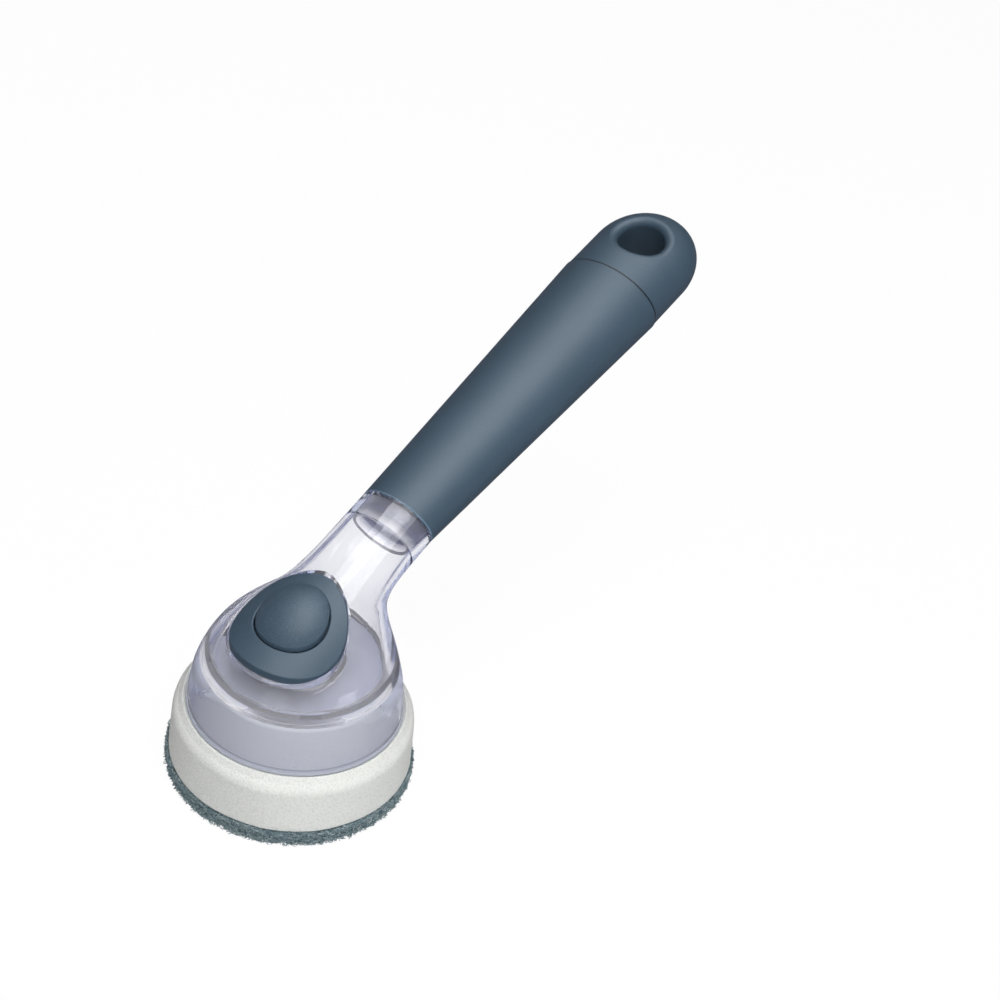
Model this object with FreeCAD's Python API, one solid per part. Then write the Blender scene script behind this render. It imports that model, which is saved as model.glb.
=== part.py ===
import FreeCAD, Part
import math
import os

Vector = FreeCAD.Vector

# A soap-dispensing dish wand: a clear round head over a sponge refill, a press button on the
# head's slope and a hollow tapering handle, closed by a cap with a hanging hole.
# Origin: centre of the scrub pad's underside. +Z runs up the head's axis, +X towards the handle.
# Lengths are in millimetres and angles in degrees.

# Refill: scouring pad, foam disc and the plug that carries them
PAD_RADIUS = 37.5
PAD_THICKNESS = 4.5
PAD_OVERHANG = 0.3
FOAM_HEIGHT = 18.9
FOAM_EDGE_ROUND = 5.0
PLUG_HEIGHT = 14.3
PLUG_WALL = 1.8
PLUG_DECK = 2.0
PLUG_EDGE_ROUND = 1.0
PLUG_DRIP_MARGIN = 1.4
PLUG_RIB_COUNT = 6
PLUG_RIB_THICKNESS = 1.6
PLUG_CLEARANCE = 0.35

# Clear head shell: a tapering round skirt that flows into the oval neck
SKIRT_BASE_RADIUS = 32.9
SKIRT_TOP_RADIUS = 31.3
SKIRT_HEIGHT = 10.0
SKIRT_LIFT = 0.5
SHELL_WALL = 2.0
CHAMBER_WALL = 2.9
TOP_SLOPE_ANGLE = 23.35
FRONT_RISE = 16.6
FRONT_RUN = 67.8
BACK_RISE = 17.7
BACK_RUN = 24.3
FRONT_SHARES = (0, 0.097, 0.287, 0.466, 0.639, 0.777, 0.877, 1)
BACK_SHARES = (0, 0.086, 0.271, 0.455, 0.639, 0.774, 0.815, 1)
WIDTH_SHARES = (1, 0.935, 0.779, 0.507, 0.162, 0.026, 0.002, 0)
CHAMBER_SECTIONS = 6
CURVE_SHARE = 0.5523
CURVE_DEGREE = 3

# Chamber floor, welded into the shell under a ledge
FLOOR_RISE = 14.8
FLOOR_THICKNESS = 2.0
FLOOR_STEP = 1.6
FLOOR_LEDGE = 2.2
FLOOR_LEDGE_THICKNESS = 1.2
FLOOR_CLEARANCE = 0.15
VALVE_PORT_RADIUS = 3.2

# Handle: oval tube along an axis that rises from the head
HANDLE_TILT_ANGLE = 18.3
AXIS_RISE = 33.3
NECK_STATION = 43.2
HANDLE_LENGTH = 111.7
NECK_HALF_WIDTH = 13.1
NECK_HALF_DEPTH = 9.04
SEAM_HALF_WIDTH = 18.3
SEAM_HALF_DEPTH = 13.37
HANDLE_WALL = 1.8

# Coupler between the clear neck and the handle, with its seal
COUPLER_NECK_DEPTH = 8.5
COUPLER_HANDLE_DEPTH = 12.0
COUPLER_WALL = 1.6
COUPLER_CLEARANCE = 0.15
COUPLER_STOP = 0.7
COUPLER_SEAL_WIDTH = 1.6
COUPLER_SEAL_DEPTH = 0.8

# End cap: push-fit plug, oval barrel, rounded end and hanging hole
CAP_SEAM_GAP = 0.35
CAP_STEP = 0.25
CAP_BARREL_LENGTH = 17.5
CAP_END_LENGTH = 20.5
CAP_PLUG_DEPTH = 12.0
CAP_PLUG_WALL = 2.8
CAP_PLUG_CLEARANCE = 0.35
CAP_POCKET_ROOF = 2.2
CAP_SEAL_WIDTH = 2.4
CAP_SEAL_DEPTH = 1.4
CAP_SEAL_CLEARANCE = 0.1
HOLE_RADIUS = 7.8
HOLE_OFFSET = 18.5
HOLE_RIM_ROUND = 2.2

# Button on the slope of the shell: an egg outline, blunt towards the front, draped over a saddle
BUTTON_TILT_ANGLE = 22.8
BUTTON_SETBACK = 7.0
BUTTON_PROUD = 0.15
SADDLE_ACROSS_RADIUS = 28.0
SADDLE_ALONG_RADIUS = 160.0
RING_FRONT_RADIUS = 17.4
RING_BACK_RADIUS = 11.0
RING_SIDE_RADIUS = 40.0
RING_LENGTH = 35.2
DOME_FRONT_RADIUS = 10.8
DOME_BACK_RADIUS = 8.0
DOME_SIDE_RADIUS = 30.0
DOME_LENGTH = 21.7
DOME_SETBACK = 1.1
DOME_HALF_LENGTH = 14.0
DOME_HALF_WIDTH = 12.4
DOME_HALF_HEIGHT = 9.0
DOME_RISE = 3.5
COLLAR_GAP = 0.3
COLLAR_WALL = 1.0
COLLAR_DROP = 1.8
COLLAR_ROOT = 9.0
COLLAR_LEDGE = 1.8
COLLAR_LEDGE_THICKNESS = 0.8
WINDOW_DEPTH = 12.0
GASKET_THICKNESS = 0.8
BEZEL_DEPTH = 4.4
BEZEL_WEB = 1.0
BEZEL_RIM = 2.6
BEZEL_CUP_WALL = 1.2
BEZEL_EDGE_ROUND = 0.5
BARREL_RADIUS = 4.8
BARREL_BORE_RADIUS = 4.0
BARREL_LENGTH = 15.0
BARREL_FLOOR = 1.4
BUTTON_GAP = 0.3
BUTTON_SKIRT = 0.8
STEM_RADIUS = 3.5
STEM_DROP = 6.0

# Plunger rod, return spring and valve
ROD_RADIUS = 1.8
ROD_SOCKET_DEPTH = 3.0
ROD_RUNNING_CLEARANCE = 0.05
ROD_SEAL_RADIUS = 3.4
ROD_SEAL_THICKNESS = 1.0
STOPPER_RADIUS = 4.6
STOPPER_THICKNESS = 2.0
STOPPER_LIP_ROUND = 0.6
ROD_BARB = 0.8
ROD_BARB_RADIUS = 2.4
SPRING_RADIUS = 3.1
SPRING_WIRE_RADIUS = 0.4
SPRING_TURNS = 4
SPRING_SEAT_GAP = 0.05

# One overrun serves every cut
OVERRUN = 1.0

# Places that follow from the sizes above
FOAM_RADIUS = PAD_RADIUS - PAD_OVERHANG
FOAM_TOP = PAD_THICKNESS + FOAM_HEIGHT
PLUG_TOP = FOAM_TOP + PLUG_HEIGHT
SKIRT_BASE = FOAM_TOP + SKIRT_LIFT
SHOULDER = SKIRT_BASE + SKIRT_HEIGHT
FLOOR_BASE = SKIRT_BASE + FLOOR_RISE
FLOOR_TOP = FLOOR_BASE + FLOOR_THICKNESS
SEAM_STATION = NECK_STATION + HANDLE_LENGTH
HOLE_STATION = SEAM_STATION + HOLE_OFFSET

UP = Vector(0, 0, 1)
ACROSS = Vector(0, 1, 0)
TILT = math.radians(HANDLE_TILT_ANGLE)
ALONG = Vector(math.cos(TILT), 0, math.sin(TILT))
NORMAL = Vector(-math.sin(TILT), 0, math.cos(TILT))
AXIS_FOOT = Vector(0, 0, SKIRT_BASE + AXIS_RISE)

# Front and back profile of the neck in the middle plane, from the shoulder to the handle's joint
JOINT_POINT = AXIS_FOOT + ALONG * NECK_STATION
SLOPE = math.radians(TOP_SLOPE_ANGLE)
SLOPE_ALONG = Vector(math.cos(SLOPE), 0, math.sin(SLOPE))
SKIRT_LEAN = Vector(SKIRT_BASE_RADIUS - SKIRT_TOP_RADIUS, 0, SKIRT_HEIGHT).normalize()
BACK_LEAN = Vector(-SKIRT_LEAN.x, 0, SKIRT_LEAN.z)
FRONT_START = Vector(-SKIRT_TOP_RADIUS, 0, SHOULDER)
FRONT_END = JOINT_POINT + NORMAL * NECK_HALF_DEPTH
BACK_START = Vector(SKIRT_TOP_RADIUS, 0, SHOULDER)
BACK_END = JOINT_POINT - NORMAL * NECK_HALF_DEPTH
FRONT_PROFILE = (
    FRONT_START,
    FRONT_START + SKIRT_LEAN * FRONT_RISE,
    FRONT_END - SLOPE_ALONG * FRONT_RUN,
    FRONT_END,
)
BACK_PROFILE = (
    BACK_START,
    BACK_START + BACK_LEAN * BACK_RISE,
    BACK_END - ALONG * BACK_RUN,
    BACK_END,
)

# The button moves straight down, and its outline lies in a tilted plane
BUTTON_TILT = math.radians(BUTTON_TILT_ANGLE)
BUTTON_SLOPE = Vector(math.cos(BUTTON_TILT), 0, math.sin(BUTTON_TILT))
BUTTON_NORMAL = Vector(-math.sin(BUTTON_TILT), 0, math.cos(BUTTON_TILT))
BUTTON_HEIGHT = FRONT_END.z - (FRONT_END.x + BUTTON_SETBACK) * math.tan(SLOPE) + BUTTON_PROUD
BUTTON_POINT = Vector(-BUTTON_SETBACK, 0, BUTTON_HEIGHT)
RING_EGG = (RING_FRONT_RADIUS, RING_BACK_RADIUS, RING_SIDE_RADIUS, RING_LENGTH, 0)
DOME_EGG = (DOME_FRONT_RADIUS, DOME_BACK_RADIUS, DOME_SIDE_RADIUS, DOME_LENGTH, DOME_SETBACK)
BEZEL_BASE = -BEZEL_DEPTH
WEB_TOP = BEZEL_BASE + BEZEL_WEB
LEDGE_TOP = -BEZEL_RIM - GASKET_THICKNESS
LEDGE_BASE = LEDGE_TOP - COLLAR_LEDGE_THICKNESS
SADDLE_CENTRE = BUTTON_POINT - BUTTON_NORMAL * SADDLE_ALONG_RADIUS
SADDLE_RING_RADIUS = SADDLE_ALONG_RADIUS - SADDLE_ACROSS_RADIUS
STEM_BASE = BUTTON_HEIGHT - STEM_DROP
BARREL_BASE = BUTTON_HEIGHT - BARREL_LENGTH
BARREL_SEAT = BARREL_BASE + BARREL_FLOOR


def oval(station, half_width, half_depth):
    """Oval wire across the handle's axis."""
    centre = AXIS_FOOT + ALONG * station
    curve = Part.Ellipse(centre + ACROSS * half_width, centre + NORMAL * half_depth, centre)
    return Part.Wire(curve.toShape())


def handle_oval(station, inset):
    """Oval wire of the tapering handle, drawn in by an even inset."""
    share = (station - NECK_STATION) / HANDLE_LENGTH
    half_width = NECK_HALF_WIDTH + share * (SEAM_HALF_WIDTH - NECK_HALF_WIDTH)
    half_depth = NECK_HALF_DEPTH + share * (SEAM_HALF_DEPTH - NECK_HALF_DEPTH)
    return oval(station, half_width - inset, half_depth - inset)


def handle_taper(start, end, inset):
    """Solid taper of the handle between two stations."""
    return Part.makeLoft([handle_oval(start, inset), handle_oval(end, inset)], True, True)


def oval_prism(start, end, half_width, half_depth):
    """Straight oval bar along the handle's axis."""
    face = Part.Face(oval(start, half_width, half_depth))
    return face.extrude(ALONG * (end - start))


def upright(radius, low, high, x=0):
    """Cylinder standing on a level plane."""
    return Part.makeCylinder(radius, high - low, Vector(x, 0, low), UP)


def cone(low_radius, high_radius, low, high):
    """Cone frustum about the head's axis."""
    return Part.makeCone(low_radius, high_radius, high - low, Vector(0, 0, low), UP)


def bezier(points, share):
    """Point at a share of the way along a cubic curve."""
    rest = 1 - share
    weights = (rest ** 3, 3 * rest ** 2 * share, 3 * rest * share ** 2, share ** 3)
    total = points[0] * weights[0]
    for point, weight in zip(points[1:], weights[1:]):
        total = total + point * weight
    return total


def oval_poles(front, back, half_width):
    """Poles of two quarter ovals, from the front point round one side to the back point."""
    centre = (front + back) / 2
    reach = front - centre
    side = ACROSS * half_width
    long_pull = reach * CURVE_SHARE
    side_pull = side * CURVE_SHARE
    front_poles = [front, front + side_pull, centre + side + long_pull]
    back_poles = [centre + side - long_pull, back + side_pull, back]
    return front_poles + [centre + side] + back_poles


def mirrored(shape):
    """Copy of a shape on the other side of the middle plane."""
    return shape.mirror(Vector(0, 0, 0), ACROSS)


def net_faces(rows, degree):
    """Faces over a net of oval rows: a front and a back quarter on each side."""
    net = [oval_poles(*row) for row in rows]
    spans = len(rows) - degree
    knots = list(range(spans + 1))
    mults = [degree + 1] + [1] * (spans - 1) + [degree + 1]
    ends = [CURVE_DEGREE + 1] * 2
    faces = []
    for first in (0, CURVE_DEGREE):
        poles = [row[first:first + CURVE_DEGREE + 1] for row in net]
        surface = Part.BSplineSurface()
        surface.buildFromPolesMultsKnots(
            poles, mults, ends, knots, [0, 1], False, False, degree, CURVE_DEGREE
        )
        face = surface.toShape()
        faces += [face, mirrored(face)]
    return faces


def end_face(row):
    """Flat face inside one oval row."""
    poles = oval_poles(*row)
    edges = []
    for first in (0, CURVE_DEGREE):
        curve = Part.BezierCurve()
        curve.setPoles(poles[first:first + CURVE_DEGREE + 1])
        edges.append(curve.toShape())
    return Part.Face(Part.Wire(edges + [mirrored(edge) for edge in reversed(edges)]))


def net_solid(stretches):
    """Closed solid over stretches of rows, each with the degree of its net along the rows."""
    faces = [end_face(stretches[0][0][0]), end_face(stretches[-1][0][-1])]
    for rows, degree in stretches:
        faces += net_faces(rows, degree)
    shell = Part.Shell(faces)
    shell.sewShape()
    solid = Part.Solid(shell)
    if solid.Volume < 0:
        solid.reverse()
    return solid


def neck_row(index, inset):
    """Front point, back point and half width of one row of the neck, drawn in by a wall thickness."""
    ends = []
    for profile, shares in ((FRONT_PROFILE, FRONT_SHARES), (BACK_PROFILE, BACK_SHARES)):
        step = FRONT_SHARES[1] / 100
        share = shares[index]
        tangent = (bezier(profile, share + step) - bezier(profile, share - step)).normalize()
        ends.append((bezier(profile, share), tangent))
    (front, front_tangent), (back, back_tangent) = ends
    inward = (back - front).normalize()
    front = front + inward * (inset / front_tangent.cross(inward).Length)
    back = back - inward * (inset / back_tangent.cross(inward).Length)
    half_width = NECK_HALF_WIDTH + WIDTH_SHARES[index] * (SKIRT_TOP_RADIUS - NECK_HALF_WIDTH)
    return front, back, half_width - inset


def egg_wire(egg, offset, lift):
    """Egg outline of four tangent arcs in the button's plane, raised straight up by the lift."""
    front_radius, back_radius, side_radius, length, setback = egg
    origin = BUTTON_POINT + BUTTON_SLOPE * setback + UP * lift
    gap = length - front_radius - back_radius
    to_front = side_radius - front_radius
    to_back = side_radius - back_radius
    side_u = (to_front ** 2 - to_back ** 2 + gap ** 2) / (2 * gap)
    side_v = math.sqrt(to_front ** 2 - side_u ** 2)
    front_radius += offset
    back_radius += offset
    side_radius += offset
    front_angle = math.atan2(side_v, -side_u)
    back_angle = math.atan2(side_v, gap - side_u)
    mid_angle = (front_angle + back_angle) / 2

    def point(centre_u, centre_v, radius, angle):
        u = centre_u + radius * math.cos(angle)
        v = centre_v + radius * math.sin(angle)
        return origin + BUTTON_SLOPE * u + ACROSS * v

    front_left = point(0, 0, front_radius, front_angle)
    front_tip = point(0, 0, front_radius, math.pi)
    front_right = point(0, 0, front_radius, -front_angle)
    back_left = point(gap, 0, back_radius, back_angle)
    back_tip = point(gap, 0, back_radius, 0)
    back_right = point(gap, 0, back_radius, -back_angle)
    side_left = point(side_u, -side_v, side_radius, mid_angle)
    side_right = point(side_u, side_v, side_radius, -mid_angle)
    arcs = (
        (front_left, front_tip, front_right),
        (front_right, side_right, back_right),
        (back_right, back_tip, back_left),
        (back_left, side_left, front_left),
    )
    return Part.Wire([Part.Arc(*points).toShape() for points in arcs])


def egg_prism(egg, offset, low, high):
    """Upright bar with an egg outline, between two lifts of the button's plane."""
    return Part.Face(egg_wire(egg, offset, low)).extrude(UP * (high - low))


def saddle(lift):
    """Solid under the saddle that carries the button, raised straight up by the lift."""
    centre = SADDLE_CENTRE + UP * lift
    return Part.makeTorus(SADDLE_RING_RADIUS, SADDLE_ACROSS_RADIUS, centre, ACROSS, -180, 180, 360)


def above_saddle(egg, offset, low):
    """Egg-outlined bar that stands on the saddle, from the low lift upwards."""
    return egg_prism(egg, offset, low - RING_LENGTH / 2, RING_LENGTH).cut(saddle(low))


def draped(egg, offset, low, high):
    """Egg-outlined band of even upright thickness, draped over the saddle."""
    return above_saddle(egg, offset, low).common(saddle(high))


def saddle_edges(shape):
    """Edges that lie on the saddle's upper surface."""
    found = []
    for edge in shape.Edges:
        middle = edge.valueAt((edge.FirstParameter + edge.LastParameter) / 2)
        gaps = []
        for point in [vertex.Point for vertex in edge.Vertexes] + [middle]:
            level = Vector(point.x, 0, point.z) - SADDLE_CENTRE
            reach = math.hypot(level.Length - SADDLE_RING_RADIUS, point.y)
            gaps.append(abs(reach - SADDLE_ACROSS_RADIUS))
        if max(gaps) < COLLAR_GAP / 10:
            found.append(edge)
    return found


def make_scouring_pad():
    return upright(PAD_RADIUS, 0, PAD_THICKNESS)


def make_sponge_foam():
    foam = upright(FOAM_RADIUS, PAD_THICKNESS, FOAM_TOP)
    rim = [edge for edge in foam.Edges if edge.BoundBox.ZMin > PAD_THICKNESS + FOAM_HEIGHT / 2]
    return foam.makeFillet(FOAM_EDGE_ROUND, rim)


def socket_radius(height):
    """Inner radius of the shell's skirt at a height."""
    share = (height - SKIRT_BASE) / SKIRT_HEIGHT
    return SKIRT_BASE_RADIUS - SHELL_WALL + share * (SKIRT_TOP_RADIUS - SKIRT_BASE_RADIUS)


def make_sponge_holder():
    low_radius = socket_radius(FOAM_TOP) - PLUG_CLEARANCE
    high_radius = socket_radius(PLUG_TOP) - PLUG_CLEARANCE
    plug = cone(low_radius, high_radius, FOAM_TOP, PLUG_TOP)
    rim = [edge for edge in plug.Edges if edge.BoundBox.ZMin > FOAM_TOP + PLUG_HEIGHT / 2]
    plug = plug.makeFillet(PLUG_EDGE_ROUND, rim)
    deck = PLUG_TOP - PLUG_DECK
    hollow = cone(low_radius - PLUG_WALL, high_radius - PLUG_WALL, FOAM_TOP, deck)
    plug = plug.cut(hollow)
    for index in range(PLUG_RIB_COUNT):
        rib = Part.makeBox(low_radius, PLUG_RIB_THICKNESS, deck - FOAM_TOP)
        rib.translate(Vector(0, -PLUG_RIB_THICKNESS / 2, FOAM_TOP))
        rib.rotate(Vector(0, 0, 0), UP, index * 360 / PLUG_RIB_COUNT)
        plug = plug.fuse(rib.common(hollow))
    drip_radius = BUTTON_SETBACK + STOPPER_RADIUS + PLUG_DRIP_MARGIN
    drip = upright(drip_radius, FOAM_TOP - OVERRUN, PLUG_TOP + OVERRUN)
    return plug.cut(drip).removeSplitter()


def seat_radius():
    """Radius of the seat that takes the chamber floor."""
    return socket_radius(FLOOR_BASE) - FLOOR_STEP


def make_head_shell():
    level = Vector(SKIRT_BASE_RADIUS, 0, 0)
    foot = Vector(0, 0, SKIRT_BASE)
    neck = [neck_row(index, 0) for index in range(len(WIDTH_SHARES))]
    skirt = [(foot - level, foot + level, SKIRT_BASE_RADIUS), neck[0]]
    shell = net_solid([(skirt, 1), (neck, CURVE_DEGREE)])
    collar_offset = COLLAR_GAP + COLLAR_WALL
    root = egg_prism(RING_EGG, collar_offset, -COLLAR_ROOT, RING_LENGTH).common(saddle(-COLLAR_DROP))
    shell = shell.fuse(root).cut(make_chamber())
    shell = shell.fuse(draped(RING_EGG, collar_offset, LEDGE_BASE, -COLLAR_DROP))
    low = SKIRT_BASE - OVERRUN
    socket = cone(socket_radius(low), socket_radius(FLOOR_BASE), low, FLOOR_BASE)
    seat = upright(seat_radius(), FLOOR_BASE - OVERRUN, FLOOR_TOP)
    throat = upright(seat_radius() - FLOOR_LEDGE, FLOOR_BASE, FLOOR_TOP + FLOOR_LEDGE_THICKNESS)
    bore = oval_prism(NECK_STATION - COUPLER_NECK_DEPTH, NECK_STATION + OVERRUN, *bore_sizes())
    mouth = above_saddle(RING_EGG, COLLAR_GAP, LEDGE_TOP)
    window = egg_prism(RING_EGG, -COLLAR_LEDGE, -WINDOW_DEPTH, RING_LENGTH)
    for tool in (socket, seat, throat, bore, mouth, window):
        shell = shell.cut(tool)
    return shell


def bore_sizes():
    """Half width and half depth of the neck's bore for the coupler."""
    return NECK_HALF_WIDTH - HANDLE_WALL, NECK_HALF_DEPTH - HANDLE_WALL


def make_chamber():
    """Soap space inside the shell, from the floor's ledge to the coupler's bore."""
    rows = [neck_row(index, CHAMBER_WALL) for index in range(CHAMBER_SECTIONS)]
    half_width, half_depth = bore_sizes()
    centre = AXIS_FOOT + ALONG * (NECK_STATION - COUPLER_NECK_DEPTH + OVERRUN)
    reach = NORMAL * (half_depth - COUPLER_STOP)
    rows.append((centre + reach, centre - reach, half_width - COUPLER_STOP))
    chamber = net_solid([(rows, CURVE_DEGREE)])
    below = upright(SKIRT_BASE_RADIUS, SKIRT_BASE, FLOOR_TOP + FLOOR_LEDGE_THICKNESS)
    return chamber.cut(below)


def make_chamber_floor():
    plate = upright(seat_radius() - FLOOR_CLEARANCE, FLOOR_BASE, FLOOR_TOP)
    port = upright(VALVE_PORT_RADIUS, FLOOR_BASE - OVERRUN, FLOOR_TOP + OVERRUN, -BUTTON_SETBACK)
    return plate.cut(port)


def make_handle_tube():
    tube = handle_taper(NECK_STATION, SEAM_STATION, 0)
    start = NECK_STATION - OVERRUN
    end = SEAM_STATION + OVERRUN
    return tube.cut(handle_taper(start, end, HANDLE_WALL))


def coupler_sizes(inset):
    """Half width and half depth of the coupler, drawn in by an inset."""
    shrink = HANDLE_WALL + COUPLER_CLEARANCE + inset
    return NECK_HALF_WIDTH - shrink, NECK_HALF_DEPTH - shrink


def seal_groove_start():
    """Station where the coupler's seal begins, midway along its neck end."""
    return NECK_STATION - (COUPLER_NECK_DEPTH + COUPLER_SEAL_WIDTH) / 2


def make_neck_coupler():
    start = NECK_STATION - COUPLER_NECK_DEPTH + COUPLER_CLEARANCE
    end = NECK_STATION + COUPLER_HANDLE_DEPTH
    tube = oval_prism(start, end, *coupler_sizes(0))
    tube = tube.cut(oval_prism(start - OVERRUN, end + OVERRUN, *coupler_sizes(COUPLER_WALL)))
    return tube.cut(make_neck_seal())


def make_neck_seal():
    start = seal_groove_start()
    end = start + COUPLER_SEAL_WIDTH
    ring = oval_prism(start, end, *coupler_sizes(0))
    return ring.cut(oval_prism(start - OVERRUN, end + OVERRUN, *coupler_sizes(COUPLER_SEAL_DEPTH)))


def plug_taper(start, end, inset):
    """Taper of the cap's plug, which follows the handle's inner wall."""
    return handle_taper(start, end, HANDLE_WALL + CAP_PLUG_CLEARANCE + inset)


def cap_seal_start():
    """Station where the cap's seal begins, midway along the plug."""
    return SEAM_STATION - (CAP_PLUG_DEPTH + CAP_SEAL_WIDTH) / 2


def make_cap_seal():
    start = cap_seal_start()
    end = start + CAP_SEAL_WIDTH
    ring = handle_taper(start, end, HANDLE_WALL + CAP_SEAL_CLEARANCE)
    return ring.cut(plug_taper(start - OVERRUN, end + OVERRUN, CAP_SEAL_DEPTH))


def make_end_cap():
    half_width = SEAM_HALF_WIDTH - CAP_STEP
    half_depth = SEAM_HALF_DEPTH - CAP_STEP
    start = SEAM_STATION + CAP_SEAM_GAP
    end = start + CAP_BARREL_LENGTH
    barrel = oval_prism(start, end, half_width, half_depth)
    dome = Part.makeSphere(1, Vector(0, 0, 0), UP, 0, 90, 360)
    stretch = FreeCAD.Matrix()
    centre = AXIS_FOOT + ALONG * end
    columns = (ACROSS * half_width, NORMAL * -half_depth, ALONG * CAP_END_LENGTH, centre)
    stretch.A = [value for row in zip(*columns) for value in row] + [0, 0, 0, 1]
    cap = barrel.fuse(dome.transformGeometry(stretch)).removeSplitter()
    hole = Part.makeCylinder(
        HOLE_RADIUS, 4 * half_depth, AXIS_FOOT + ALONG * HOLE_STATION - NORMAL * (2 * half_depth), NORMAL
    )
    cap = cap.cut(hole)
    axis_point = AXIS_FOOT + ALONG * HOLE_STATION
    rims = []
    for edge in cap.Edges:
        middle = edge.valueAt((edge.FirstParameter + edge.LastParameter) / 2)
        ends = [vertex.Point for vertex in edge.Vertexes]
        reaches = [(point - axis_point).cross(NORMAL).Length for point in ends + [middle]]
        level = abs((ends[0] - axis_point).dot(NORMAL) - (ends[-1] - axis_point).dot(NORMAL))
        if max(abs(reach - HOLE_RADIUS) for reach in reaches) < CAP_STEP / 10 and level < half_depth:
            rims.append(edge)
    cap = cap.makeFillet(HOLE_RIM_ROUND, rims)
    plug_start = SEAM_STATION - CAP_PLUG_DEPTH
    cap = cap.fuse(plug_taper(plug_start, start + OVERRUN, 0))
    pocket_end = HOLE_STATION - HOLE_RADIUS - CAP_POCKET_ROOF
    pocket = oval_prism(
        plug_start - OVERRUN,
        pocket_end,
        SEAM_HALF_WIDTH - HANDLE_WALL - CAP_PLUG_CLEARANCE - CAP_PLUG_WALL,
        SEAM_HALF_DEPTH - HANDLE_WALL - CAP_PLUG_CLEARANCE - CAP_PLUG_WALL,
    )
    groove_start = cap_seal_start()
    groove_end = groove_start + CAP_SEAL_WIDTH
    groove = handle_taper(groove_start, groove_end, 0)
    groove = groove.cut(plug_taper(groove_start - OVERRUN, groove_end + OVERRUN, CAP_SEAL_DEPTH))
    return cap.cut(pocket).cut(groove)


def make_button_housing():
    rim = draped(RING_EGG, 0, -BEZEL_RIM, 0)
    cup = draped(DOME_EGG, BUTTON_GAP + BEZEL_CUP_WALL, BEZEL_BASE, -BEZEL_RIM / 2)
    body = rim.fuse(cup).cut(above_saddle(DOME_EGG, BUTTON_GAP, WEB_TOP))
    body = body.makeFillet(BEZEL_EDGE_ROUND, saddle_edges(body))
    barrel = upright(BARREL_RADIUS, BARREL_BASE, BUTTON_HEIGHT, -BUTTON_SETBACK)
    body = body.fuse(barrel.common(saddle(WEB_TOP)))
    bore = upright(BARREL_BORE_RADIUS, BARREL_SEAT, BUTTON_HEIGHT, -BUTTON_SETBACK)
    guide_radius = ROD_RADIUS + ROD_RUNNING_CLEARANCE
    guide = upright(guide_radius, BARREL_BASE - OVERRUN, BUTTON_HEIGHT, -BUTTON_SETBACK)
    return body.cut(bore).cut(guide)


def make_housing_gasket():
    ring = draped(RING_EGG, 0, LEDGE_TOP, -BEZEL_RIM)
    return ring.cut(egg_prism(RING_EGG, -COLLAR_LEDGE, -WINDOW_DEPTH, RING_LENGTH))


def make_button_cap():
    crown = Part.makeSphere(1)
    stretch = FreeCAD.Matrix()
    middle = BUTTON_SLOPE * (DOME_SETBACK - DOME_FRONT_RADIUS + DOME_LENGTH / 2)
    centre = BUTTON_POINT + middle + BUTTON_NORMAL * (DOME_RISE - DOME_HALF_HEIGHT)
    columns = (
        BUTTON_SLOPE * DOME_HALF_LENGTH,
        ACROSS * DOME_HALF_WIDTH,
        BUTTON_NORMAL * DOME_HALF_HEIGHT,
        centre,
    )
    stretch.A = [value for row in zip(*columns) for value in row] + [0, 0, 0, 1]
    crown = crown.transformGeometry(stretch)
    cap = egg_prism(DOME_EGG, 0, -RING_LENGTH, RING_LENGTH).common(crown).cut(saddle(-BUTTON_SKIRT))
    stem = upright(STEM_RADIUS, STEM_BASE, BUTTON_HEIGHT, -BUTTON_SETBACK)
    cap = cap.fuse(stem)
    socket = upright(ROD_RADIUS, STEM_BASE - OVERRUN, STEM_BASE + ROD_SOCKET_DEPTH, -BUTTON_SETBACK)
    return cap.cut(socket)


def make_plunger_rod():
    foot = FLOOR_BASE - STOPPER_THICKNESS
    rod = upright(ROD_RADIUS, foot, STEM_BASE + ROD_SOCKET_DEPTH, -BUTTON_SETBACK)
    tip = Vector(-BUTTON_SETBACK, 0, foot - ROD_BARB)
    barb = Part.makeCone(ROD_RADIUS, ROD_BARB_RADIUS, ROD_BARB, tip, UP)
    return rod.fuse(barb)


def make_valve_stopper():
    foot = FLOOR_BASE - STOPPER_THICKNESS
    disc = upright(STOPPER_RADIUS, foot, FLOOR_BASE, -BUTTON_SETBACK)
    lip = [edge for edge in disc.Edges if edge.BoundBox.ZMax < FLOOR_BASE - STOPPER_THICKNESS / 2]
    disc = disc.makeFillet(STOPPER_LIP_ROUND, lip)
    return disc.cut(upright(ROD_RADIUS, foot - OVERRUN, FLOOR_BASE + OVERRUN, -BUTTON_SETBACK))


def make_rod_seal():
    top = BARREL_BASE
    ring = upright(ROD_SEAL_RADIUS, top - ROD_SEAL_THICKNESS, top, -BUTTON_SETBACK)
    bore_radius = ROD_RADIUS + ROD_RUNNING_CLEARANCE
    bore = upright(bore_radius, top - ROD_SEAL_THICKNESS - OVERRUN, top + OVERRUN, -BUTTON_SETBACK)
    return ring.cut(bore)


def arc_from(start, tangent, end):
    """Arc that leaves the start along the tangent and ends at the end."""
    chord = end - start
    along = Vector(chord).normalize()
    aside = tangent - along * tangent.dot(along)
    half_sweep = math.acos(tangent.dot(along))
    bulge = aside.normalize() * (chord.Length / 2 * math.tan(half_sweep / 2))
    return Part.Arc(start, start + chord / 2 + bulge, end).toShape()


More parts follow.
